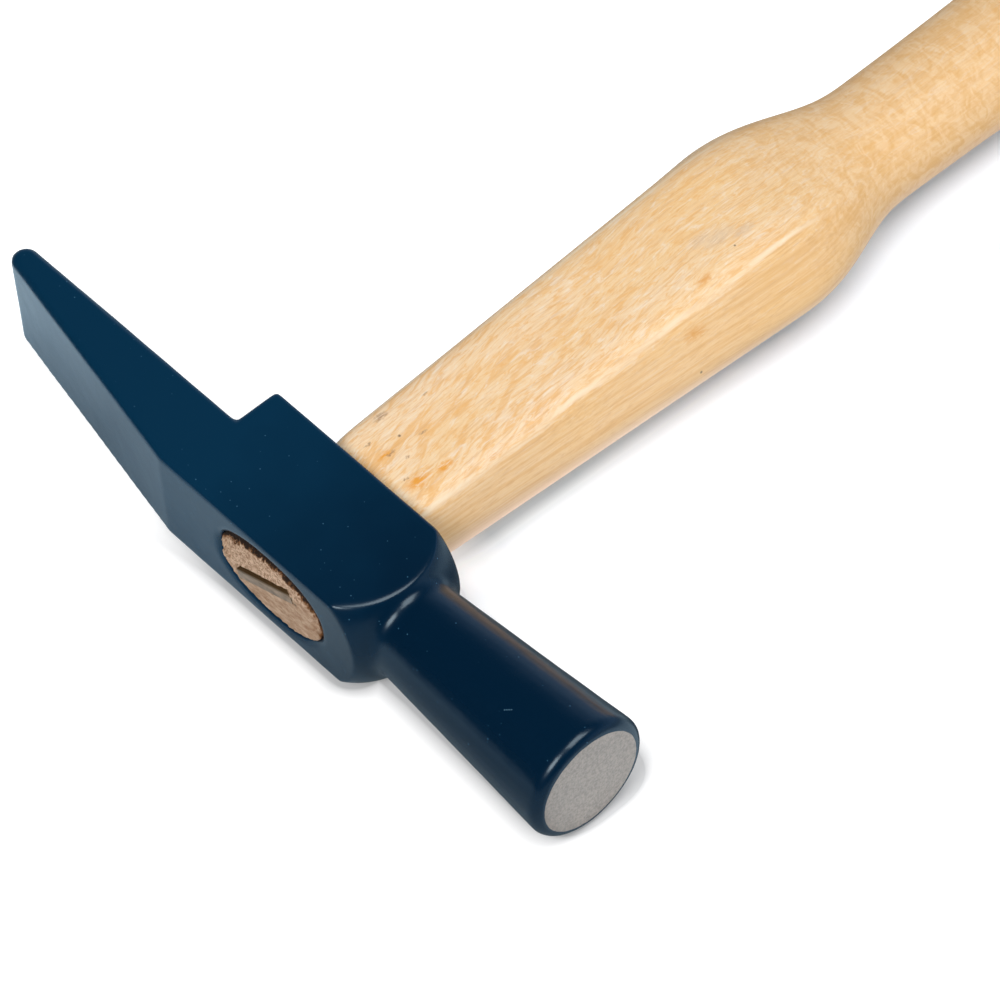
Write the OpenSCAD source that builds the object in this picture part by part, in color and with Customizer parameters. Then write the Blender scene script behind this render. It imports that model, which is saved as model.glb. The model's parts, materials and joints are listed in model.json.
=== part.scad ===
// Watchmaker hammer: a small cross pein hammer that lies on its cheek.
// X runs along the handle away from the head, Y from the striking face to the pein, Z up from the surface.

/* [Head block] */
// Width of the block along the handle
block_w = 14.5; // [12:0.1:18]
// Thickness of the head between its cheeks
block_t = 13; // [12:0.1:14]
// Distance from the handle axis to the step behind the pein
step_y = 14.8; // [12:0.1:18]
// Radius on the forged edges
edge_r = 0.6; // [0.3:0.1:1]

/* [Pein] */
// Depth of the step on the handle side
step_depth = 5.45; // [3:0.05:6]
// Radius in the inner corner of the step
step_round = 0.6; // [0.2:0.1:1.5]
// Distance from the handle axis to the bend on the crown side
bend_y = 16.6; // [15.5:0.1:20]
// Distance from the handle axis to the end of the nose
nose_y = 48.1; // [40:0.1:60]
// Thickness of the nose
nose_t = 3.1; // [2:0.1:4]
// Width of the nose, a little wider than the block is thick
nose_w = 13.5; // [13:0.1:15]
// Offset of the nose from the handle axis plane, towards the crown
nose_shift = 0.1; // [0:0.1:2]

/* [Poll] */
// Distance from the handle axis to the striking face
face_y = 40.5; // [34:0.1:50]
// Radius of the poll where it leaves the neck
neck_r = 5.55; // [4.5:0.05:6]
// Radius of the poll at the rim of the striking face
rim_r = 7.4; // [6.5:0.05:8]
// Rounding of that rim
rim_round = 1.2; // [0.4:0.05:1.5]
// Radius of the hollow between shoulder and poll
neck_round = 1.5; // [0.8:0.1:2.5]
// Radius of the turned shoulder
shoulder_round = 8.4; // [8:0.1:10]
// Distance from the handle axis to the middle of the shoulder's arc
shoulder_y = 6.6; // [5:0.1:8]
// Distance from the poll axis to the middle of the shoulder's arc
shoulder_x = 1.85; // [1:0.05:2.5]

/* [Eye] */
// Length of the eye at its narrowest
eye_len = 15; // [12:0.1:15.4]
// Height of the eye at its narrowest
eye_high = 8.6; // [7:0.1:9]
// Widening of each side of the eye towards its two mouths
eye_flare = 0.4; // [0:0.1:0.6]
// Rounding of the mouth on the crown
eye_round = 0.8; // [0.6:0.1:1]
// How far the handle's end lies under the crown
eye_recess = 0.1; // [0.1:0.1:0.5]

/* [Wedge] */
// Width of the wedge
wedge_w = 9.4; // [7:0.1:9.5]
// Thickness of the wedge at its struck end
wedge_t = 1.2; // [1:0.1:2]
// Thickness of the wedge at its tip
wedge_tip = 0.4; // [0.2:0.1:0.8]
// Length of the wedge along the handle
wedge_len = 11; // [8:0.5:12]
// Slant of the wedge across the eye
wedge_slant = -23; // [-30:1:30]
// Middle of the wedge across the eye, towards the pein and upwards
wedge_mid = [1.1, -0.9]; // [-1.5:0.1:1.5]
// How far the wedge lies under the handle's end
wedge_sunk = 0.1; // [0.1:0.1:1]

/* [Handle] */
// Distance from the handle axis at the head's middle to the end of the grip
handle_end = 233; // [200:1:260]
// Width of the handle at the head, before its side ridges are softened
root_w = 16.9; // [16.9:0.1:19]
// Thickness of the handle at the head
root_t = 10; // [10:0.1:12]
// Width of the flat on top at the head, between its two ridges
root_flat = 13.3; // [12:0.1:15]
// Place of the faceted shoulder along the handle
bulge_x = 57.5; // [50:0.5:66]
// How much later the shoulder ends on the pein side than on the poll side
bulge_late = 2.5; // [0:0.5:4]
// Width of the handle at that shoulder, before its side ridges are softened
bulge_w = 24.2; // [20:0.1:26]
// Thickness of the handle at that shoulder
bulge_t = 15; // [12:0.1:15]
// Width of the flat on top at that shoulder
bulge_flat = 14.8; // [12:0.1:16]
// Place of the waist along the handle
waist_x = 75.5; // [70:0.5:84]
// Width of the waist
waist_w = 14.4; // [12:0.1:18]
// Thickness of the waist
waist_t = 12; // [10:0.1:14]
// Place of the thickest part of the grip
grip_x = 182; // [150:1:190]
// Width of the grip there
grip_w = 22.4; // [18:0.1:26]
// Thickness of the grip there
grip_t = 15; // [15:0.1:18]
// Width of the butt before its rounded end
butt_w = 20.6; // [16:0.1:24]
// Thickness of the butt before its rounded end
butt_t = 13.8; // [12:0.1:15]
// Rounding of the butt
butt_round = 4.5; // [2:0.5:6]

/* [Hidden] */
sides = 40;
crown_x = -block_w / 2;
seat_x = block_w / 2;
pein_x = seat_x - step_depth;
cut = 2;
eye_power = 2.3;
ridge_power = 15;
nose_r = nose_t / 2;
nose_mid_y = nose_y - nose_r;
root_in = 5;
taper = atan((rim_r - neck_r) / (face_y - shoulder_y - shoulder_round));
rim_mid_y = face_y - rim_round;
rim_mid_r = poll_r(rim_mid_y) - rim_round / cos(taper);
neck_mid_y = neck_middle(shoulder_y + shoulder_round);
neck_mid_r = poll_r(neck_mid_y) + neck_round / cos(taper);
shoulder_mid = [shoulder_x, shoulder_y];
neck_mid = [neck_mid_r, neck_mid_y];
neck_top = shoulder_mid + (neck_mid - shoulder_mid) * shoulder_round / (shoulder_round + neck_round);
frame_shift = [-(crown_x + handle_end) / 2, (face_y - nose_y) / 2, grip_t / 2];

// Radius of the poll's straight flare at a distance from the handle axis
function poll_r(y) = neck_r + (y - shoulder_y - shoulder_round) * tan(taper);

// Place of the neck's hollow, touching both the shoulder's arc and the flare, by repeated correction
function neck_middle(y, tries = 8) = tries == 0 ? y :
    let (r = poll_r(y) + neck_round / cos(taper) - shoulder_x)
    neck_middle(shoulder_y + sqrt(pow(shoulder_round + neck_round, 2) - r * r), tries - 1);

// Eased step from 0 to 1 between two places
function ease(x, low, high) = let (t = max(0, min(1, (x - low) / (high - low)))) t * t * (3 - 2 * t);

function mix(p, q, t) = p + (q - p) * t;
function signed_power(v, p) = sign(v) * pow(abs(v), p);

// One ring of an oval with softly squared ends, across the handle axis
function oval_ring(x, half_y, half_z) = [for (i = [0:sides - 1])
    let (t = 360 * i / sides)
    [x, half_y * signed_power(cos(t), 2 / eye_power), half_z * signed_power(sin(t), 2 / eye_power)]];

// Widening of the eye at a place along it
function eye_grow(x) = eye_flare * pow(abs(x) / seat_x, 2);

function eye_ring(x, more = 0) =
    oval_ring(x, eye_len / 2 + eye_grow(x) + more, eye_high / 2 + eye_grow(x) + more);

// Walls of the eye that the tenon fills, from the crown's rounded mouth to the seat
eye_wall_x = [crown_x + eye_round, crown_x / 2, 0, seat_x / 2, seat_x];
wall_rings = [for (x = eye_wall_x) eye_ring(x)];
tenon_rings = concat([eye_ring(crown_x + eye_recess)], wall_rings);
mouth_rings = [for (t = [0:15:75]) eye_ring(crown_x + eye_round * (1 - cos(t)), eye_round * (1 - sin(t)))];
eye_rings = concat([eye_ring(crown_x - cut, eye_round)], mouth_rings, wall_rings, [eye_ring(seat_x + cut)]);

// Share of the way from the head to the handle's shoulder
function along(x) = (x - seat_x) / (bulge_x - seat_x);

// Half width and half thickness of the handle along its length, with its shoulder later by a length
function half_w(x, late) =
    x < waist_x + late ?
        mix(mix(root_w, bulge_w, along(x)), waist_w, ease(x, bulge_x + late, waist_x + late)) / 2 :
    x < grip_x ? mix(waist_w, grip_w, ease(x, waist_x + late, grip_x)) / 2 :
    mix(grip_w, butt_w, ease(x, grip_x, handle_end - butt_round)) / 2;
function half_t(x) =
    x < bulge_x ? mix(root_t, bulge_t, along(x)) / 2 :
    x < waist_x ? mix(bulge_t, waist_t, ease(x, bulge_x, waist_x)) / 2 :
    x < grip_x ? mix(waist_t, grip_t, ease(x, waist_x, grip_x)) / 2 :
    mix(grip_t, butt_t, ease(x, grip_x, handle_end - butt_round)) / 2;

// Share of the oval section against the six-sided one
function roundness(x) = ease(x, bulge_x - 2, waist_x);

// How far the butt's rounding draws the section in
function butt_in(x) = let (t = max(0, x - handle_end + butt_round) / butt_round) butt_round * (1 - sqrt(1 - t * t));

// Distance from the handle axis to the six-sided section's skin in a direction, with softened ridges
function six_sided(angle, half_y, half_z, flat) =
    let (lean = atan((half_y - flat / 2) / half_z))
    let (side = half_y * cos(lean))
    let (pull = [for (n = [[90, half_z], [270, half_z], [lean, side], [-lean, side], [180 - lean, side], [180 + lean, side]])
        pow(max(0, cos(angle - n[0]) / n[1]), ridge_power)])
    pow(pull * [1, 1, 1, 1, 1, 1], -1 / ridge_power);

function handle_ring(x) = [for (i = [0:sides - 1])
    let (t = 360 * i / sides)
    let (half_y = half_w(x, cos(t) > 0 ? bulge_late : 0) - butt_in(x))
    let (half_z = half_t(x) - butt_in(x))
    let (flat = mix(root_flat, bulge_flat, min(1, along(x))))
    let (angle = atan2(half_z * sin(t), half_y * cos(t)))
    let (oval = norm([half_y * cos(t), half_z * sin(t)]))
    let (reach = mix(six_sided(angle, half_y, half_z, flat), oval, roundness(x)))
    [x, reach * cos(angle), reach * sin(angle)]];

// Rings stand closer where the outline turns
handle_x = concat(
    [for (i = [0:8]) mix(seat_x, bulge_x - 8, i / 8)],
    [for (i = [1:16]) mix(bulge_x - 8, waist_x + 4, i / 16)],
    [for (i = [1:16]) mix(waist_x + 4, grip_x, i / 16)],
    [for (i = [1:6]) mix(grip_x, handle_end - butt_round, i / 6)],
    [for (t = [15:15:90]) handle_end - butt_round * (1 - sin(t))]
);

// Solid through a list of rings, closed at both ends
module loft(rings) {
    last = len(rings) - 1;
    polyhedron(
        points = [for (ring = rings) each ring],
        faces = concat(
            [[for (i = [0:sides - 1]) i]],
            [for (k = [0:last - 1]) for (i = [0:sides - 1]) let (j = (i + 1) % sides)
                each [[k * sides + i, (k + 1) * sides + i, (k + 1) * sides + j],
                      [k * sides + i, (k + 1) * sides + j, k * sides + j]]],
            [[for (i = [sides - 1:-1:0]) last * sides + i]]
        ),
        convexity = 6
    );
}

// Bar with rounded edges between two corners
module rounded_bar(low, high) {
    hull() {
        for (x = [low.x + edge_r, high.x - edge_r]) {
            for (y = [low.y + edge_r, high.y - edge_r]) {
                for (z = [low.z + edge_r, high.z - edge_r]) {
                    translate([x, y, z]) sphere(r = edge_r, $fn = 24);
                }
            }
        }
    }
}

// Half outline of the whole head as if it were all turned, with the poll side upwards
module turned_outline() {
    wide = shoulder_x + shoulder_round;
    intersection() {
        union() {
            difference() {
                union() {
                    translate(shoulder_mid) circle(r = shoulder_round, $fn = 96);
                    polygon([[0, -step_y - cut], [wide, -step_y - cut], [wide, shoulder_y], shoulder_mid,
                        neck_top, neck_mid, [poll_r(neck_mid_y), neck_mid_y],
                        [poll_r(rim_mid_y), rim_mid_y], [rim_mid_r, face_y], [0, face_y]]);
                }
                translate(neck_mid) circle(r = neck_round, $fn = 96);
            }
            translate([rim_mid_r, rim_mid_y]) circle(r = rim_round, $fn = 96);
        }
        translate([0, -step_y - cut]) square([wide, face_y + step_y + cut]);
    }
}

// Turned body, with flats on the block and none beyond the neck
module block_and_poll() {
    intersection() {
        rotate([90, 0, 0]) rotate_extrude($fn = 96) turned_outline();
        union() {
            rounded_bar([crown_x, -neck_mid_y - cut, -block_t / 2], [seat_x, step_y, block_t / 2]);
            translate([0, -neck_mid_y, 0]) rotate([90, 0, 0]) cylinder(r = block_w, h = face_y, $fn = 96);
        }
    }
}

module pein() {
    half_root = block_t / 2 - (nose_w - block_t) / 2 * root_in / (nose_mid_y - step_y);
    hull() {
        for (side = [-1, 1]) {
            for (corner = [
                [crown_x + edge_r, step_y - root_in, half_root],
                [crown_x + edge_r, bend_y, block_t / 2],
                [pein_x - edge_r, step_y - root_in, half_root]
            ]) {
                translate([corner.x, corner.y, side * (corner.z - edge_r)]) sphere(r = edge_r, $fn = 24);
            }
        }
        translate([-nose_shift, nose_mid_y, 0]) {
            cylinder(r = nose_r, h = nose_w - 2 * edge_r, center = true, $fn = 32);
            cylinder(r = nose_r - edge_r, h = nose_w, center = true, $fn = 32);
        }
    }
}

// Fillet in the inner corner between the step and the pein
module step_fillet() {
    translate([pein_x, step_y, 0]) linear_extrude(height = block_t - 2 * edge_r, center = true) difference() {
        translate([-edge_r, -edge_r]) square(edge_r + step_round);
        translate([step_round, step_round]) circle(r = step_round, $fn = 48);
    }
}

module wedge_blank() {
    translate([crown_x + eye_recess + wedge_sunk, wedge_mid.x, wedge_mid.y]) rotate([wedge_slant, 0, 0])
        rotate([90, 0, 0]) linear_extrude(height = wedge_w, center = true)
            polygon([[0, -wedge_t / 2], [wedge_len, -wedge_tip / 2], [wedge_len, wedge_tip / 2], [0, wedge_t / 2]]);
}

module head() {
    color([0.02, 0.16, 0.28]) translate(frame_shift) difference() {
        union() {
            block_and_poll();
            pein();
            step_fillet();
        }
        loft(eye_rings);
    }
}

module handle() {
    color([0.91, 0.76, 0.54]) translate(frame_shift) difference() {
        loft(concat(tenon_rings, [for (x = handle_x) handle_ring(x)]));
        wedge_blank();
    }
}

module wedge() {
    color([0.45, 0.42, 0.38]) translate(frame_shift) wedge_blank();
}

head();
handle();
wedge();
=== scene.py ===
"""Looks of a watchmaker hammer: lacquered head, ash handle and steel wedge, on a white table, in metres."""
import json
import math
import bpy
from mathutils import Matrix, Vector


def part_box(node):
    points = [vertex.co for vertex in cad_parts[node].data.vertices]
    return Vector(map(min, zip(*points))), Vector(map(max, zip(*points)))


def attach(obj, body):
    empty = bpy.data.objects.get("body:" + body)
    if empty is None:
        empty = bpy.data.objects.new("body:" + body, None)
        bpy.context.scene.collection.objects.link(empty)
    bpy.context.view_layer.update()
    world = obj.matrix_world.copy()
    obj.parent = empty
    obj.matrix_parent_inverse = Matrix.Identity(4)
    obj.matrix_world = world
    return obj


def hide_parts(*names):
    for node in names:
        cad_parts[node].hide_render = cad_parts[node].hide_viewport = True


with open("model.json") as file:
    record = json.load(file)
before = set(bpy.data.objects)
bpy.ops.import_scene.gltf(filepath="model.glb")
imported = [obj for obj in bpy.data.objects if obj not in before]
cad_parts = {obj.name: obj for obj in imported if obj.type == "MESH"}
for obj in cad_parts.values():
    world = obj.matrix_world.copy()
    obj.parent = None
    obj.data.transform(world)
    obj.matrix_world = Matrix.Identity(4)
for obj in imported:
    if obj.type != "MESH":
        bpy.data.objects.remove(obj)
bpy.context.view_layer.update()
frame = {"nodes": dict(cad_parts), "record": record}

MM = 0.001
HEAD_LOW, HEAD_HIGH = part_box("head")
HANDLE_LOW, HANDLE_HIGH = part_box("handle")
WEDGE_LOW, WEDGE_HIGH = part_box("wedge")
MOUNTS = {mount["name"]: mount for mount in frame["record"]["mounts"]}
POLL_X, FACE_Y, AXIS_Z = MOUNTS["striking_face"]["pos_m"]
AXIS_Y = MOUNTS["tool_clip_neck"]["pos_m"][1]
CROWN_X, SEAT_X, END_X = HEAD_LOW.x, HEAD_HIGH.x, HANDLE_LOW.x
WAIST_X = MOUNTS["tool_clip_neck"]["pos_m"][0]

# The camera of the picture: its place, and the way that it looks
CAMERA_PLACE = (-0.35619, -0.34404, 0.55190)
HEADING = math.radians(51.908)
LOOKS_DOWN = math.radians(52.209)
ROLL = math.radians(-4.929)
FOCAL_LENGTH = 242.573
SENSOR = 36
NEAR_CLIP = 0.01

# Finish of the forged head: its mesh cell, the waves on its sides, and where its shoulder is smoothed most
FORGED_CELL = 0.24 * MM
FORGED_WAVE = 5 * MM
FORGED_DEEP = 0.06 * MM
SHOULDER_LOW_Y = AXIS_Y - 14.2 * MM
SHOULDER_HIGH_Y = AXIS_Y - 8.5 * MM
SHOULDER_FROM_Z = AXIS_Z + 3 * MM

# Sizes on the head and in its eye, where the torn wood starts at a share of the eye's radius
FACE_DISC = 6.12 * MM
EYE_HALF_Y = 7.9 * MM
EYE_HALF_Z = 4.7 * MM
EYE_POWER = 2.3
WEDGE_SLANT = math.radians(-23)
WEDGE_HALF_W = 4.7 * MM
WEDGE_HALF_T = 0.6 * MM
WEDGE_GAP = 0.72 * MM
KERF_DEEP = 5 * MM
KERF_WIDER = 0.3 * MM
KERF_PLAY = 0.02 * MM
TORN_DEEP = 0.3 * MM
TORN_FROM = 0.78
TORN_OVER = 0.1
SAWN_DEEP = 0.28 * MM
# The ragged fringe of the painted shade under the eye's upper rim, and how far that shade is shifted
# sideways
FRINGE = 1.35 * MM
RIM_SHADE_SHIFT = 0.7 * MM

# How far the ridges along the handle's top, where pale highlights are painted, start from its middle, and
# how fast they run apart
RIDGE_Y = 6.65 * MM
RIDGE_SPREAD = 0.015

# Marks on the wood, and the scratch on the poll, in millimetres, with their sizes
ORANGE_MARKS = (((-102.5, -7.3, 12.65), 1.0), ((-99.35, -7.8, 12.8), 0.6), ((-102.8, -2.4, 12.6), 0.45))
TAN_MARKS = (((-94.75, -10.3, 12.8), 0.45), ((-68.9, -12.5, 11.8), 0.8), ((-64.6, -9.4, 14.4), 0.6))
DARK_MARKS = (((-100.1, -1.67, 12.77), 0.22), ((-69.86, -14.2, 7.94), 0.22), ((-59.46, -8.49, 14.76), 0.16))
BROWN_MARKS = (((-102.2, -2.7, 12.7), 0.3), ((-101.3, -4.3, 12.7), 0.22), ((-103.1, -0.1, 12.6), 0.25),
               ((-103.3, -6.2, 12.6), 0.2), ((-94.7, 0.5, 13.0), 0.25), ((-98.2, -3.1, 12.9), 0.3),
               ((-99.8, 1.6, 12.7), 0.5))
GREY_MARKS = (((-59.9, -6.5, 14.8), 1.2), ((-57.5, -7.7, 14.9), 0.8), ((-61.5, -5.4, 14.7), 0.9))
GREEN_MARKS = (((-120.0, 1.4, 4.2), 0.3), ((-120.0, -7.2, 8.7), 0.3), ((-120.0, -7.6, 8.1), 0.3))
SCRATCH = tuple(((-115.84 + 0.105 * step, -35.24 - 0.154 * step, 0), 0.08) for step in range(5))

# The head's footprint on the table, moved a little to the handle's side, outside which its shadow fades
POLL_PRINT_X = POLL_X + 2.4 * MM
POLL_PRINT_END = FACE_Y + 6.8 * MM
POLL_PRINT_POWER = 3
POLL_PRINT_AT_FACE = 7.05 * MM
POLL_PRINT_AT_NECK = 6 * MM
BLOCK_PRINT_X = POLL_X + 1.5 * MM
BLOCK_PRINT_END = AXIS_Y - 8.5 * MM
BLOCK_PRINT_HALF = 5.25 * MM
BLOCK_PRINT_ROUND = 3.5 * MM
SHADOW_FADE = 2.2 * MM
SHADOW_FADE_POWER = 0.6

# The corner between the poll and the handle, where the table is painted darker as the handle's shade and
# glows on the wood like a card
CORNER_X = POLL_X + 13 * MM
CORNER_SHARE = 0.68

# What the table reflects to the camera, what it glows besides, and what other rays get from it
WHITE_BY_HEAD = (0.6, 0.6, 0.6, 1)
WHITE_BY_HANDLE = (0.95, 0.95, 0.98, 1)
# Painted shade: darker table colours in the corner and at the wood, which deepen the handle's shadow there
SHADE_IN_CORNER = (0.62, 0.71, 0.76, 1)
SHADE_AT_WOOD = (0.33, 0.38, 0.42, 1)
GLOW_BY_HANDLE = (0, 0.08, 0.13, 1)
GLOW_AT_HEAD = (0.2, 0.2, 0.2, 1)
GLOW_OFF_HEAD = (0.8, 0.8, 0.8, 1)
WHITE_TO_MATT = (0.9, 0.9, 0.9, 1)
CARD_GLOW = (0.85, 0.88, 1)
MIRRORED_GLOW = (0.07, 0.09, 0.11)

# Lamps and world
TABLE_SIZE = 6
LAMP_DISTANCE = 1.2
WORLD_TINT = (0.72, 1.0, 1.4, 1)
WORLD_LEVEL = 0.015


def select_only(piece):
    bpy.ops.object.select_all(action="DESELECT")
    bpy.context.view_layer.objects.active = piece
    piece.select_set(True)


def merged_copy(node, name):
    """A new piece with the shape of a CAD node, its loose triangles merged."""
    piece = bpy.data.objects.new(name, frame["nodes"][node].data.copy())
    piece.data.name = name
    piece.data.materials.clear()
    bpy.context.scene.collection.objects.link(piece)
    select_only(piece)
    bpy.ops.object.mode_set(mode="EDIT")
    bpy.ops.mesh.select_all(action="SELECT")
    bpy.ops.mesh.remove_doubles(threshold=0.002 * MM)
    bpy.ops.object.mode_set(mode="OBJECT")
    return piece


def apply_modifier(piece, kind, **settings):
    modifier = piece.modifiers.new(kind.lower(), kind)
    for key, value in settings.items():
        setattr(modifier, key, value)
    select_only(piece)
    bpy.ops.object.modifier_apply(modifier=modifier.name)


def clouds(name, size, depth=2):
    texture = bpy.data.textures.new(name, "CLOUDS")
    texture.noise_scale = size
    texture.noise_depth = depth
    return texture


def pick_vertices(piece, test):
    """Enters edit mode with only the vertices that pass a test of their place selected."""
    select_only(piece)
    bpy.ops.object.mode_set(mode="EDIT")
    bpy.ops.mesh.select_mode(type="VERT")
    bpy.ops.mesh.select_all(action="DESELECT")
    bpy.ops.object.mode_set(mode="OBJECT")
    for vertex in piece.data.vertices:
        vertex.select = test(vertex.co)
    bpy.ops.object.mode_set(mode="EDIT")


def weigh_vertices(piece, name, weight):
    """A vertex group whose weights come from a function of the vertices' places."""
    group = piece.vertex_groups.new(name=name)
    for vertex in piece.data.vertices:
        share = weight(vertex.co)
        if share > 0:
            group.add([vertex.index], share, "REPLACE")


def eye_radius(co):
    """How far a place lies from the eye's middle line: 1 at its wall."""
    across, up = abs(co.y - AXIS_Y) / EYE_HALF_Y, abs(co.z - AXIS_Z) / EYE_HALF_Z
    return (across ** EYE_POWER + up ** EYE_POWER) ** (1 / EYE_POWER)


def finish_piece(piece, node, material):
    piece.data.materials.append(material)
    select_only(piece)
    bpy.ops.object.shade_smooth()
    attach(piece, "root")
    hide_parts(node)


# Pieces

def shoulder_weight(co):
    """How much the shoulder is smoothed at a place: less and less towards the handle and the crown."""
    if not SHOULDER_LOW_Y < co.y < SHOULDER_HIGH_Y or co.z <= SHOULDER_FROM_Z:
        return 0.0
    from_handle = (POLL_X + 4 * MM - co.x) / (9 * MM)
    from_crown = (co.x - CROWN_X - 0.5 * MM) / (1.4 * MM)
    return min(1, from_handle, from_crown)


def model_forged_head():
    """The head with its forged edges rounded and its lacquered sides a little uneven."""
    head = merged_copy("head", "forged_head")
    apply_modifier(head, "REMESH", mode="VOXEL", voxel_size=FORGED_CELL)
    apply_modifier(head, "SMOOTH", factor=0.5, iterations=4)
    apply_modifier(head, "DISPLACE", texture=clouds("forging", FORGED_WAVE), strength=FORGED_DEEP,
                   mid_level=1)
    weigh_vertices(head, "shoulder", shoulder_weight)
    apply_modifier(head, "SMOOTH", factor=0.5, iterations=24, vertex_group="shoulder")
    return head


def cut_kerf(handle):
    """Cuts the slot of the wedge, open above the wedge, into the end grain."""
    middle = (WEDGE_LOW + WEDGE_HIGH) / 2
    raised = (WEDGE_GAP - KERF_PLAY) / 2
    middle.x = END_X
    middle.y -= raised * math.sin(WEDGE_SLANT)
    middle.z += raised * math.cos(WEDGE_SLANT)
    bpy.ops.object.select_all(action="DESELECT")
    bpy.ops.mesh.primitive_cube_add(size=1, location=middle)
    cutter = bpy.context.active_object
    cutter.rotation_euler.x = WEDGE_SLANT
    cutter.scale = (2 * KERF_DEEP, 2 * WEDGE_HALF_W + KERF_WIDER, 2 * WEDGE_HALF_T + WEDGE_GAP)
    bpy.ops.object.transform_apply(location=True, rotation=True, scale=True)
    apply_modifier(handle, "TRIANGULATE")
    apply_modifier(handle, "BOOLEAN", object=cutter, operation="DIFFERENCE", solver="EXACT")
    bpy.data.objects.remove(cutter)


def model_ash_handle():
    """The handle, finer than its CAD solid, with rough end grain and an open kerf in the eye."""
    handle = merged_copy("handle", "ash_handle")
    close = 0.05 * MM
    # The solid's own slot goes, and its end gets a fine grid, in which a deeper kerf is cut at last
    pick_vertices(handle, lambda co: min(abs(co.x - WEDGE_LOW.x), abs(co.x - WEDGE_HIGH.x)) < close)
    bpy.ops.mesh.delete(type="VERT")
    bpy.ops.mesh.select_all(action="SELECT")
    bpy.ops.mesh.tris_convert_to_quads(face_threshold=math.radians(40), shape_threshold=math.radians(70))
    bpy.ops.object.mode_set(mode="OBJECT")
    pick_vertices(handle, lambda co: abs(co.x - END_X) < close)
    bpy.ops.mesh.fill_grid(span=10)
    bpy.ops.mesh.subdivide(number_cuts=2)
    bpy.ops.object.mode_set(mode="OBJECT")
    # The edge against the head stays sharp
    pick_vertices(handle, lambda co: abs(co.x - SEAT_X) < close)
    bpy.ops.transform.edge_crease(value=1)
    bpy.ops.object.mode_set(mode="OBJECT")
    apply_modifier(handle, "SUBSURF", levels=2, render_levels=2)
    # The end grain is rough, and torn along its upper edge
    on_end = END_X + 0.25 * MM
    weigh_vertices(handle, "end_grain", lambda co: 1.0 if co.x < on_end else 0.0)
    weigh_vertices(handle, "torn", lambda co: min(1, max(0, (eye_radius(co) - TORN_FROM) / TORN_OVER))
                   if co.x < on_end and co.z > AXIS_Z - 1 * MM else 0.0)
    apply_modifier(handle, "DISPLACE", texture=clouds("torn_fibres", 0.5 * MM), strength=2 * TORN_DEEP,
                   mid_level=0, direction="X", vertex_group="torn")
    apply_modifier(handle, "DISPLACE", texture=clouds("sawn_end", 0.45 * MM, 4), strength=SAWN_DEEP,
                   mid_level=0, direction="X", vertex_group="end_grain")
    cut_kerf(handle)
    return handle


def model_steel_wedge():
    wedge = merged_copy("wedge", "steel_wedge")
    apply_modifier(wedge, "BEVEL", width=0.05 * MM, segments=2)
    return wedge


# Materials

def feed(tree, value, socket):
    """Links a value to a socket, or sets it there."""
    if isinstance(value, bpy.types.NodeSocket):
        tree.links.new(value, socket)
    else:
        socket.default_value = value


def put(tree, kind, **inputs):
    """Adds a node, and sets or links its inputs by name."""
    node = tree.nodes.new("ShaderNode" + kind)
    for key, value in inputs.items():
        feed(tree, value, node.inputs[key])
    return node


def maths(tree, operation, first, second=0.0):
    node = tree.nodes.new("ShaderNodeMath")
    node.operation = operation
    feed(tree, first, node.inputs[0])
    feed(tree, second, node.inputs[1])
    return node.outputs[0]


def plus(tree, first, second):
    return maths(tree, "ADD", first, second)


def less(tree, first, second):
    return maths(tree, "SUBTRACT", first, second)


def times(tree, first, second):
    return maths(tree, "MULTIPLY", first, second)


def larger(tree, first, second):
    return maths(tree, "MAXIMUM", first, second)


def smaller(tree, first, second):
    return maths(tree, "MINIMUM", first, second)


def power(tree, first, second):
    return maths(tree, "POWER", first, second)


def absolute(tree, value):
    return maths(tree, "ABSOLUTE", value)


def vector_maths(tree, operation, first, second=(0, 0, 0)):
    node = tree.nodes.new("ShaderNodeVectorMath")
    node.operation = operation
    feed(tree, first, node.inputs[0])
    feed(tree, second, node.inputs[1])
    return node.outputs["Value" if operation in ("DOT_PRODUCT", "LENGTH") else "Vector"]


def length(tree, vector):
    return vector_maths(tree, "LENGTH", vector)


def scaled(tree, vector, factor):
    node = tree.nodes.new("ShaderNodeVectorMath")
    node.operation = "SCALE"
    feed(tree, vector, node.inputs["Vector"])
    feed(tree, factor, node.inputs["Scale"])
    return node.outputs["Vector"]


def split(tree, vector):
    """The X, Y and Z of a vector."""
    parts = put(tree, "SeparateXYZ", Vector=vector)
    return tuple(parts.outputs[axis] for axis in "XYZ")


def between(tree, value, low, high, to_low=0.0, to_high=1.0):
    """A value mapped from one range to another, and clamped."""
    node = put(tree, "MapRange", Value=value)
    for name, number in (("From Min", low), ("From Max", high), ("To Min", to_low), ("To Max", to_high)):
        node.inputs[name].default_value = number
    return node.outputs["Result"]


def mixed(tree, share, first, second):
    """Two colours mixed by a share."""
    node = tree.nodes.new("ShaderNodeMix")
    node.data_type = "RGBA"
    for number, value in ((0, share), (6, first), (7, second)):
        feed(tree, value, node.inputs[number])
    return node.outputs[2]


def colour(red, green, blue):
    """An sRGB colour, 0 to 255, as the linear one that a shader takes."""
    def linear(value):
        value /= 255
        return value / 12.92 if value <= 0.04045 else ((value + 0.055) / 1.055) ** 2.4
    return (linear(red), linear(green), linear(blue), 1.0)


def new_material(name):
    material = bpy.data.materials.new(name)
    material.use_nodes = True
    tree = material.node_tree
    tree.nodes.clear()
    surface = tree.nodes.new("ShaderNodeBsdfPrincipled")
    output = tree.nodes.new("ShaderNodeOutputMaterial")
    tree.links.new(surface.outputs["BSDF"], output.inputs["Surface"])
    place = tree.nodes.new("ShaderNodeTexCoord").outputs["Object"]
    return material, tree, surface, place


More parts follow.
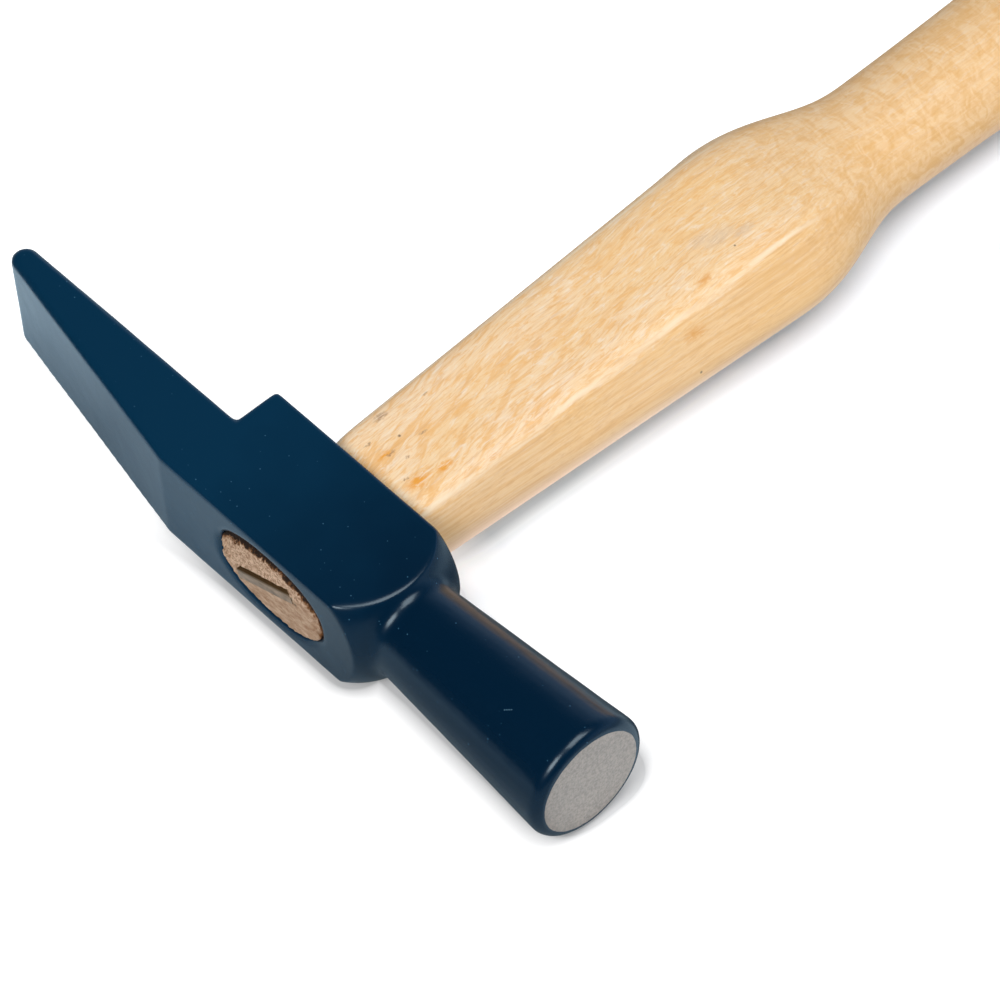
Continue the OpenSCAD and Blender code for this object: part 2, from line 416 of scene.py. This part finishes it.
def noise(tree, place, size, detail=2.0, roughness=0.5, distortion=0.0):
    """Noise whose lumps are about a size across."""
    return put(tree, "TexNoise", Vector=place, Scale=1 / size, Detail=detail, Roughness=roughness,
               Distortion=distortion).outputs["Fac"]


def stretched(tree, place, scale, turn=(0, 0, 0)):
    return put(tree, "Mapping", Vector=place, Scale=scale, Rotation=turn).outputs["Vector"]


def bump(tree, surface, height, depth):
    node = put(tree, "Bump", Height=height, Distance=depth, Strength=1)
    tree.links.new(node.outputs["Normal"], surface.inputs["Normal"])


def spots(tree, place, marks, weights=(1, 1, 1)):
    """One soft spot at each mark, 1 in its middle."""
    total = 0.0
    for point, size in marks:
        away = vector_maths(tree, "SUBTRACT", place, tuple(value * MM for value in point))
        away = vector_maths(tree, "MULTIPLY", away, weights)
        spot = between(tree, length(tree, away), size * 0.3 * MM, size * MM, 1, 0)
        total = larger(tree, total, spot)
    return total


def jittered(tree, place, size, far):
    """Places moved about at random, so that what is drawn there gets a ragged outline."""
    shift = put(tree, "TexNoise", Vector=place, Scale=1 / size, Detail=2).outputs["Color"]
    shift = vector_maths(tree, "SUBTRACT", shift, (0.5, 0.5, 0.5))
    return vector_maths(tree, "ADD", place, vector_maths(tree, "MULTIPLY", shift, (far, far, far)))


def lacquered_steel():
    material, tree, surface, place = new_material("lacquered_steel")
    _, along, height = split(tree, place)
    # Painted reflection: the navy is painted darker towards the poll and lighter towards the pein, made
    # uneven by a noise
    tone = plus(tree, along, times(tree, noise(tree, place, 9 * MM), 20 * MM))
    navy_painted_reflection = mixed(tree, between(tree, tone, -12 * MM, 18 * MM), colour(0, 28, 50), colour(5, 47, 73))
    # Dust under the lacquer: a speck in a few of the cells, and one thin scratch
    cells = put(tree, "TexVoronoi", Vector=place, Scale=1 / (0.8 * MM))
    speck = between(tree, cells.outputs["Distance"], 0.04, 0.11, 1, 0)
    chosen = put(tree, "SeparateColor", Color=cells.outputs["Color"])
    speck = times(tree, speck, between(tree, chosen.outputs["Red"], 0.68, 0.95))
    lacquer = mixed(tree, speck, navy_painted_reflection, colour(62, 108, 136))
    on_top = between(tree, height, AXIS_Z, AXIS_Z + 1 * MM)
    scratch = times(tree, spots(tree, place, SCRATCH, (1, 1, 0)), on_top)
    lacquer = mixed(tree, scratch, lacquer, colour(90, 128, 150))
    # The ground disc of the striking face, with fine grinding lines across it
    off_axis = vector_maths(tree, "SUBTRACT", place, (POLL_X, FACE_Y, AXIS_Z))
    off_axis = vector_maths(tree, "MULTIPLY", off_axis, (1, 0, 1))
    off_axis = length(tree, off_axis)
    off_axis = plus(tree, off_axis, times(tree, noise(tree, place, 0.8 * MM), 0.1 * MM))
    on_disc = between(tree, off_axis, FACE_DISC + 0.05 * MM, FACE_DISC + 0.1 * MM, 1, 0)
    at_face = between(tree, along, FACE_Y + 0.5 * MM, FACE_Y + 0.6 * MM, 1, 0)
    ground = times(tree, on_disc, at_face)
    lines = stretched(tree, place, (1, 1, 0.08), (0, math.radians(40), 0))
    lines = noise(tree, lines, 0.14 * MM, 3, 0.6)
    grit = noise(tree, place, 0.3 * MM, 4, 0.7)
    steel = mixed(tree, between(tree, grit, 0.38, 0.62), colour(182, 159, 145), colour(209, 183, 168))
    steel = mixed(tree, between(tree, lines, 0.5, 0.75, 0, 0.4), steel, colour(164, 148, 137))
    tree.links.new(mixed(tree, ground, lacquer, steel), surface.inputs["Base Color"])
    tree.links.new(times(tree, ground, 0.9), surface.inputs["Metallic"])
    tree.links.new(between(tree, ground, 0, 1, 0.24, 0.5), surface.inputs["Roughness"])
    surface.inputs["Specular Tint"].default_value = (0.75, 0.92, 1, 1)
    peel = times(tree, noise(tree, place, 1.3 * MM, 2), 0.5)
    bump(tree, surface, plus(tree, peel, speck), 0.01 * MM)
    return material


def grain_place(tree, place, start):
    """Places bent so that the grain starts slanted to the pein at the head, and straightens behind it."""
    x, y, z = split(tree, place)
    along = between(tree, x, SEAT_X, SEAT_X + 60 * MM, 0, 60 * MM)
    slant = less(tree, start, times(tree, along, 7.5 * start))
    slant = times(tree, along, slant)
    wander = put(tree, "TexNoise", Vector=stretched(tree, place, (0.5, 1, 1)), Scale=1 / (8 * MM), Detail=1)
    wander = vector_maths(tree, "MULTIPLY", wander.outputs["Color"], (0, 2.5 * MM, 0.5 * MM))
    moved = put(tree, "CombineXYZ", X=x, Y=less(tree, y, slant), Z=z)
    return vector_maths(tree, "ADD", moved.outputs["Vector"], wander)


def height_above_wedge(tree, place):
    """Distance above the wedge's middle plane, square to it."""
    away = vector_maths(tree, "SUBTRACT", place, tuple((WEDGE_LOW + WEDGE_HIGH) / 2))
    return vector_maths(tree, "DOT_PRODUCT", away, (0, -math.sin(WEDGE_SLANT), math.cos(WEDGE_SLANT)))


def fine_grain(tree, place, grain, along, facing, broad, flecks, fibres):
    """The straw-coloured wood, with golden bands, flecks, growth rings and fibres."""
    figured = between(tree, facing, 0.3, 0.62, 0.1, 0.7)
    wood = mixed(tree, between(tree, broad, 0.35, 0.65), colour(252, 224, 188), colour(249, 213, 164))
    golden = between(tree, along, SEAT_X + 10 * MM, SEAT_X + 45 * MM, 0, 0.45)
    wood = mixed(tree, golden, wood, colour(247, 206, 146))
    # Steeper bands cross the fibres near the head
    steep = stretched(tree, grain_place(tree, place, 0.42), (0.18, 1, 1))
    bands = noise(tree, steep, 0.95 * MM, 2, 0.55, 0.4)
    banded = times(tree, between(tree, bands, 0.5, 0.62), between(tree, facing, 0.45, 0.75))
    banded = times(tree, banded, between(tree, along, SEAT_X + 5 * MM, SEAT_X + 45 * MM, 0.75, 0.2))
    wood = mixed(tree, banded, wood, colour(241, 187, 120))
    orange = times(tree, between(tree, flecks, 0.50, 0.64, 0, 0.95), figured)
    wood = mixed(tree, orange, wood, colour(242, 186, 115))
    pale = times(tree, between(tree, flecks, 0.34, 0.45, 0.9, 0), figured)
    wood = mixed(tree, pale, wood, colour(252, 234, 212))
    # Growth rings lie nearly level: wide patterns on top, close lines on the sides
    rings = noise(tree, stretched(tree, grain, (0.015, 0.1, 1)), 0.36 * MM, 2, 0.6)
    on_side = between(tree, facing, 0.72, 0.98, 1, 0.1)
    ringed = times(tree, between(tree, rings, 0.45, 0.62, 0, 0.62), on_side)
    wood = mixed(tree, ringed, wood, colour(230, 176, 114))
    wood = mixed(tree, between(tree, facing, 0.55, 0.97, 0.45, 0), wood, colour(236, 191, 130))
    return mixed(tree, between(tree, fibres, 0.48, 0.72, 0, 0.45), wood, colour(218, 166, 114))


def broad_tones(tree, wood, place, along, across, height, broad):
    """Wood with a mottled figure by the waist, low sides painted paler as lit from the table, and painted
    highlights along its top's ridges.
    """
    figure = noise(tree, stretched(tree, place, (1, 0.5, 1)), 1.3 * MM, 3, 0.6, 1.2)
    at_waist = between(tree, along, WAIST_X - 22 * MM, WAIST_X - 10 * MM)
    mottled = mixed(tree, between(tree, figure, 0.4, 0.6), colour(244, 208, 162), colour(230, 178, 112))
    wood = mixed(tree, times(tree, at_waist, 0.5), wood, mottled)
    # Painted light: the low sides are painted paler and pinker, as lit by the table below them
    low = between(tree, height, AXIS_Z - 3 * MM, AXIS_Z + 0.5 * MM, 0.7, 0)
    wood = mixed(tree, low, wood, colour(254, 223, 197))
    # Painted highlight: a pale cream line along each ridge of the top, before the waist
    painted_ridge_highlight = absolute(tree, less(tree, across, AXIS_Y))
    painted_ridge_highlight = less(tree, painted_ridge_highlight, times(tree, less(tree, along, SEAT_X), RIDGE_SPREAD))
    painted_ridge_highlight = less(tree, painted_ridge_highlight, RIDGE_Y)
    painted_ridge_highlight = plus(tree, painted_ridge_highlight, between(tree, broad, 0.3, 0.7, -0.25 * MM, 0.25 * MM))
    painted_ridge_highlight = between(tree, absolute(tree, painted_ridge_highlight), 0.08 * MM, 0.35 * MM, 1, 0)
    painted_ridge_highlight = times(tree, painted_ridge_highlight, between(tree, broad, 0.4, 0.55, 0.25, 0.75))
    painted_ridge_highlight = times(tree, painted_ridge_highlight, between(tree, along, WAIST_X - 20 * MM, WAIST_X - 14 * MM, 1, 0))
    painted_ridge_highlight = times(tree, painted_ridge_highlight, between(tree, height, AXIS_Z, AXIS_Z + 1 * MM))
    return mixed(tree, painted_ridge_highlight, wood, colour(252, 232, 202))


def marked_wood(tree, wood, place, along, broad, flecks):
    """Wood with its small marks where the photo shows them, and a dark line against the head."""
    ragged = jittered(tree, place, 0.5 * MM, 0.9 * MM)
    streaky = between(tree, flecks, 0.38, 0.52, 0.25, 1)
    for marks, share, tone in ((ORANGE_MARKS, 0.85, colour(238, 158, 44)),
                               (BROWN_MARKS, 0.7, colour(150, 112, 88)),
                               (TAN_MARKS, 0.6, colour(228, 156, 72)),
                               (GREY_MARKS, 0.35, colour(200, 186, 176))):
        marked = times(tree, spots(tree, ragged, marks, (0.45, 1, 1)), streaky)
        wood = mixed(tree, times(tree, marked, share), wood, tone)
    wood = mixed(tree, times(tree, spots(tree, place, DARK_MARKS), 0.8), wood, colour(92, 76, 66))
    joint = plus(tree, along, times(tree, broad, 1 * MM))
    joint = between(tree, joint, SEAT_X + 0.5 * MM, SEAT_X + 1 * MM, 0.7, 0)
    return mixed(tree, joint, wood, colour(168, 104, 66))


def rim_shade_edge(tree, place, across, height):
    """How far out a place lies in the eye: 1 where the painted shade under the upper rim starts, lowered
    there by a ragged fringe.
    """
    comb = noise(tree, stretched(tree, place, (1, 1, 0.25)), 0.24 * MM, 3, 0.7)
    uneven = noise(tree, place, 1.2 * MM)
    lowered = times(tree, plus(tree, comb, times(tree, uneven, 0.8)), FRINGE)
    lowered = times(tree, lowered, between(tree, across, AXIS_Y, AXIS_Y + 6 * MM, 1, 1.5))
    lowered = larger(tree, less(tree, plus(tree, height, lowered), AXIS_Z), 0)
    upward = power(tree, maths(tree, "DIVIDE", lowered, EYE_HALF_Z), EYE_POWER)
    sideways = absolute(tree, less(tree, across, AXIS_Y + RIM_SHADE_SHIFT))
    sideways = power(tree, maths(tree, "DIVIDE", sideways, EYE_HALF_Y), EYE_POWER)
    return plus(tree, upward, sideways)


def end_grain(tree, place, along, across, height, pores):
    """The tenon's end: rough above the wedge, smoother below it, with painted shade along its torn upper
    edge under the eye's rim and deeper in the kerf.
    """
    rough = mixed(tree, between(tree, pores, 0.36, 0.6), colour(150, 112, 84), colour(222, 192, 164))
    streaks = noise(tree, stretched(tree, place, (1, 0.35, 1), (WEDGE_SLANT, 0, 0)), 0.5 * MM, 4, 0.7)
    smooth = mixed(tree, between(tree, streaks, 0.35, 0.65), colour(160, 124, 96), colour(206, 178, 152))
    above = between(tree, height_above_wedge(tree, place), -0.2 * MM, 0.2 * MM)
    end = mixed(tree, above, smooth, rough)
    edge = rim_shade_edge(tree, place, across, height)
    # Painted shade, dark brown, in the gap under the eye's upper rim, its edge ragged like the torn fibres
    painted_rim_shade = mixed(tree, between(tree, edge, 1.04, 1.22), colour(144, 96, 56), colour(42, 26, 15))
    end = mixed(tree, between(tree, edge, 1.0, 1.09), end, painted_rim_shade)
    green = spots(tree, jittered(tree, place, 0.3 * MM, 0.4 * MM), GREEN_MARKS)
    end = mixed(tree, green, end, colour(72, 80, 58))
    # Painted shade: wood deeper than about a millimetre into the end, in the kerf and the eye, is painted
    # dark brown
    painted_deep_shade = between(tree, along, END_X + 0.9 * MM, END_X + 1.5 * MM)
    return mixed(tree, painted_deep_shade, end, colour(66, 46, 28))


def ash_wood():
    material, tree, surface, place = new_material("ash_wood")
    along, across, height = split(tree, place)
    facing = split(tree, tree.nodes["Texture Coordinate"].outputs["Normal"])[2]
    grain = grain_place(tree, place, 0.08)
    broad = noise(tree, stretched(tree, grain, (0.3, 1, 1)), 4 * MM, 3, 0.6)
    flecks = noise(tree, stretched(tree, grain, (0.25, 1, 1.6)), 0.5 * MM, 4, 0.65, 0.8)
    fibres = noise(tree, stretched(tree, grain, (0.03, 1, 1)), 0.2 * MM, 3, 0.6)
    pores = noise(tree, place, 0.32 * MM, 3, 0.7)
    wood = fine_grain(tree, place, grain, along, facing, broad, flecks, fibres)
    wood = broad_tones(tree, wood, place, along, across, height, broad)
    wood = marked_wood(tree, wood, place, along, broad, flecks)
    end = end_grain(tree, place, along, across, height, pores)
    in_eye = between(tree, along, SEAT_X - 0.5 * MM, SEAT_X - 0.3 * MM, 1, 0)
    tree.links.new(mixed(tree, in_eye, wood, end), surface.inputs["Base Color"])
    tree.links.new(between(tree, in_eye, 0, 1, 0.5, 0.85), surface.inputs["Roughness"])
    surface.inputs["Specular IOR Level"].default_value = 0.3
    bump(tree, surface, plus(tree, fibres, times(tree, pores, in_eye)), 0.03 * MM)
    return material


def wedge_steel():
    material, tree, surface, place = new_material("wedge_steel")
    grime = noise(tree, stretched(tree, place, (1, 0.5, 1)), 0.8 * MM, 3, 0.6)
    steel = mixed(tree, between(tree, grime, 0.3, 0.7), colour(128, 112, 94), colour(184, 160, 138))
    # Painted shade, brown: on its sides in the kerf behind the struck end, and in ragged patches along that
    # end's upper edge under the kerf's lip
    along = split(tree, place)[0]
    behind = between(tree, along, WEDGE_LOW.x + 0.02 * MM, WEDGE_LOW.x + 0.06 * MM)
    above = height_above_wedge(tree, place)
    ragged_height = plus(tree, above, times(tree, grime, 0.7 * MM))
    painted_kerf_shade = larger(tree, behind, between(tree, ragged_height, 0.62 * MM, 0.82 * MM, 0, 0.8))
    tree.links.new(mixed(tree, painted_kerf_shade, steel, colour(92, 70, 38)), surface.inputs["Base Color"])
    surface.inputs["Metallic"].default_value = 0.2
    surface.inputs["Roughness"].default_value = 0.6
    bump(tree, surface, grime, 0.04 * MM)
    return material


# Table, lamps and camera

def across_handle(tree, x, y, lean):
    """Where a place lies across the handle, on a line that leans a little from it."""
    return plus(tree, y, times(tree, less(tree, x, CORNER_X), lean))


def seen_by_head(tree, x, y):
    """0 along the handle's near side, where the seen shadow is darker, and 1 by the head and elsewhere."""
    beside = across_handle(tree, x, y, 0.33)
    by_head = larger(tree, between(tree, x, POLL_X + 4 * MM, POLL_X + 17 * MM, 1, 0),
                     between(tree, beside, AXIS_Y - 18 * MM, AXIS_Y - 10 * MM, 1, 0))
    by_head = larger(tree, by_head, between(tree, y, AXIS_Y + 4 * MM, AXIS_Y + 12 * MM))
    by_head = larger(tree, by_head, between(tree, y, AXIS_Y - 21 * MM, AXIS_Y - 15.5 * MM, 1, 0))
    return larger(tree, by_head, between(tree, x, HANDLE_HIGH.x + 3 * MM, HANDLE_HIGH.x + 10 * MM))


def faded_by_head(tree, x, y):
    """How far the head's shadow has faded: 0 over the footprints of poll and block, 1 a little outside."""
    past = smaller(tree, less(tree, y, POLL_PRINT_END), 0)
    past = power(tree, absolute(tree, past), POLL_PRINT_POWER)
    aside = power(tree, absolute(tree, less(tree, x, POLL_PRINT_X)), POLL_PRINT_POWER)
    off_poll = power(tree, plus(tree, aside, past), 1 / POLL_PRINT_POWER)
    poll_radius = between(tree, y, -40 * MM, -20 * MM, POLL_PRINT_AT_FACE, POLL_PRINT_AT_NECK)
    off_poll = less(tree, off_poll, poll_radius)
    beyond = larger(tree, less(tree, BLOCK_PRINT_END, y), 0)
    outside = absolute(tree, less(tree, x, BLOCK_PRINT_X))
    outside = larger(tree, less(tree, outside, BLOCK_PRINT_HALF), 0)
    off_block = length(tree, put(tree, "CombineXYZ", X=outside, Y=beyond).outputs["Vector"])
    nearest = smaller(tree, off_poll, less(tree, off_block, BLOCK_PRINT_ROUND))
    fade = power(tree, between(tree, nearest, 0, SHADOW_FADE), SHADOW_FADE_POWER)
    return larger(tree, fade, between(tree, y, AXIS_Y + 8 * MM, AXIS_Y + 22 * MM))


def seen_table(tree, x, y, in_corner):
    """What the table reflects to the camera and what it glows there, for a soft shadow like the photo's."""
    by_head = seen_by_head(tree, x, y)
    glow_by_head = mixed(tree, faded_by_head(tree, x, y), GLOW_AT_HEAD, GLOW_OFF_HEAD)
    # The warm light that the handle throws back from the corner is left out of the shadow
    close_by = across_handle(tree, x, y, 0.03)
    shaded = smaller(tree, in_corner, CORNER_SHARE)
    outer = times(tree, shaded, between(tree, close_by, AXIS_Y - 9.5 * MM, AXIS_Y - 7.5 * MM))
    inner = times(tree, shaded, between(tree, close_by, AXIS_Y - 7.2 * MM, AXIS_Y - 6 * MM))
    white = mixed(tree, outer, WHITE_BY_HANDLE, SHADE_IN_CORNER)
    white = mixed(tree, inner, white, SHADE_AT_WOOD)
    white = mixed(tree, by_head, white, WHITE_BY_HEAD)
    return white, mixed(tree, by_head, GLOW_BY_HANDLE, glow_by_head)


def reflector_card(tree, y, in_corner):
    """A glow for matt surfaces in the corner between the poll and the handle, like a card laid there."""
    card = times(tree, in_corner, between(tree, y, AXIS_Y - 18 * MM, AXIS_Y - 13 * MM))
    card = times(tree, card, between(tree, y, AXIS_Y, AXIS_Y + 2 * MM, 1, 0))
    return scaled(tree, CARD_GLOW, card)


def mirrored_level(tree, place, x, y):
    """How bright the lacquer mirrors the table: dark beside the poll and far off, pale by pein and face."""
    level = larger(tree, between(tree, y, -20 * MM, 4 * MM, 0.4, 0.82),
                   between(tree, y, 15 * MM, 45 * MM, 0.35, 1.3))
    level = times(tree, level, between(tree, x, POLL_X - 1 * MM, POLL_X + 6 * MM, 1, 0.4))
    level = larger(tree, level, between(tree, x, POLL_X + 22 * MM, POLL_X + 38 * MM, 0.1, 0.85))
    before_face = times(tree, between(tree, y, FACE_Y - 2 * MM, FACE_Y + 1 * MM, 1.05, 0),
                        between(tree, x, POLL_X - 8 * MM, POLL_X - 2 * MM))
    level = larger(tree, level, before_face)
    off_head = length(tree, vector_maths(tree, "SUBTRACT", place, (POLL_X, 0, 0)))
    return smaller(tree, level, between(tree, off_head, 60 * MM, 90 * MM, 1.3, 0.35))


def white_table():
    """Matt white, with its own colour and glow for the camera, for mirrored rays and for all others."""
    material = bpy.data.materials.new("white_table")
    material.cycles.emission_sampling = "NONE"
    material.use_nodes = True
    tree = material.node_tree
    tree.nodes.clear()
    rays = put(tree, "LightPath")
    seen = rays.outputs["Is Camera Ray"]
    mirrored = larger(tree, rays.outputs["Is Glossy Ray"], rays.outputs["Is Transmission Ray"])
    place = put(tree, "NewGeometry").outputs["Position"]
    x, y, _ = split(tree, place)
    in_corner = times(tree, between(tree, x, POLL_X + 4 * MM, POLL_X + 8 * MM),
                      between(tree, x, POLL_X + 14 * MM, POLL_X + 55 * MM, 1, 0))
    seen_white, seen_glow = seen_table(tree, x, y, in_corner)
    card = reflector_card(tree, y, in_corner)
    level = mirrored_level(tree, place, x, y)
    mirrored_white = scaled(tree, colour(206, 230, 242)[:3], level)
    white = mixed(tree, seen, WHITE_TO_MATT, seen_white)
    matt = put(tree, "BsdfDiffuse", Color=mixed(tree, mirrored, white, mirrored_white))
    mirrored_glow = scaled(tree, MIRRORED_GLOW, times(tree, mirrored, level))
    unseen_glow = mixed(tree, mirrored, card, mirrored_glow)
    glow = put(tree, "Emission", Color=mixed(tree, seen, unseen_glow, seen_glow), Strength=1)
    both = tree.nodes.new("ShaderNodeAddShader")
    tree.links.new(matt.outputs[0], both.inputs[0])
    tree.links.new(glow.outputs[0], both.inputs[1])
    output = put(tree, "OutputMaterial")
    tree.links.new(both.outputs[0], output.inputs["Surface"])
    return material


def lay_table():
    """A plain white table that goes on past the picture, and keeps the hammer's shadow."""
    bpy.ops.object.select_all(action="DESELECT")
    bpy.ops.mesh.primitive_plane_add(size=TABLE_SIZE)
    table = bpy.context.active_object
    table.name = "table"
    table.data.materials.append(white_table())


def hang_softbox(name, toward, width, height, watts, mirrored=True):
    """A rectangular lamp that faces the hammer's head, mirrored by its surfaces or not."""
    lamp = bpy.data.lights.new(name, "AREA")
    lamp.shape = "RECTANGLE"
    lamp.size = width
    lamp.size_y = height
    lamp.energy = watts
    holder = bpy.data.objects.new(name, lamp)
    bpy.context.scene.collection.objects.link(holder)
    middle = Vector((POLL_X / 2, AXIS_Y, 0))
    way = Vector(toward).normalized()
    holder.location = middle + way * LAMP_DISTANCE
    holder.rotation_euler = way.to_track_quat("Z", "Y").to_euler()
    holder.visible_glossy = mirrored


def light_scene():
    """Three softboxes, and a dark world that glows a little low on the right, highest behind the handle."""
    world = bpy.data.worlds.new("studio")
    bpy.context.scene.world = world
    world.use_nodes = True
    tree = world.node_tree
    x, y, z = split(tree, tree.nodes.new("ShaderNodeTexCoord").outputs["Generated"])
    behind = plus(tree, times(tree, x, 0.17), times(tree, y, 0.1))
    low = between(tree, less(tree, z, behind), -0.05, 0.55, 0.5, 0)
    glow = times(tree, low, between(tree, x, -0.1, 0.4))
    background = tree.nodes["Background"]
    background.inputs["Color"].default_value = WORLD_TINT
    tree.links.new(plus(tree, glow, WORLD_LEVEL), background.inputs["Strength"])
    hang_softbox("overhead", toward=(0.1, -0.25, 0.96), width=0.72, height=0.8, watts=9.2)
    hang_softbox("left", toward=(-0.67, -0.19, 0.72), width=0.56, height=0.56, watts=7.6)
    hang_softbox("low", toward=(0.6, -0.78, 0.17), width=0.6, height=0.28, watts=1.8, mirrored=False)


def set_camera():
    """The picture's camera, from its heading, its downward tilt and its roll."""
    ahead = Vector((math.cos(LOOKS_DOWN) * math.cos(HEADING),
                    math.cos(LOOKS_DOWN) * math.sin(HEADING),
                    -math.sin(LOOKS_DOWN)))
    level = Vector((math.sin(HEADING), -math.cos(HEADING), 0))
    upright = level.cross(ahead)
    right = math.cos(ROLL) * level + math.sin(ROLL) * upright
    up = math.cos(ROLL) * upright - math.sin(ROLL) * level
    lens = bpy.data.cameras.new("camera")
    lens.sensor_width = SENSOR
    lens.lens = FOCAL_LENGTH
    lens.clip_start = NEAR_CLIP
    camera = bpy.data.objects.new("camera", lens)
    bpy.context.scene.collection.objects.link(camera)
    turn = Matrix((right, up, -ahead)).transposed()
    camera.matrix_world = Matrix.Translation(Vector(CAMERA_PLACE)) @ turn.to_4x4()
    bpy.context.scene.camera = camera


bpy.context.scene.view_settings.view_transform = "Standard"
set_camera()
light_scene()
lay_table()
finish_piece(model_forged_head(), "head", lacquered_steel())
finish_piece(model_ash_handle(), "handle", ash_wood())
finish_piece(model_steel_wedge(), "wedge", wedge_steel())
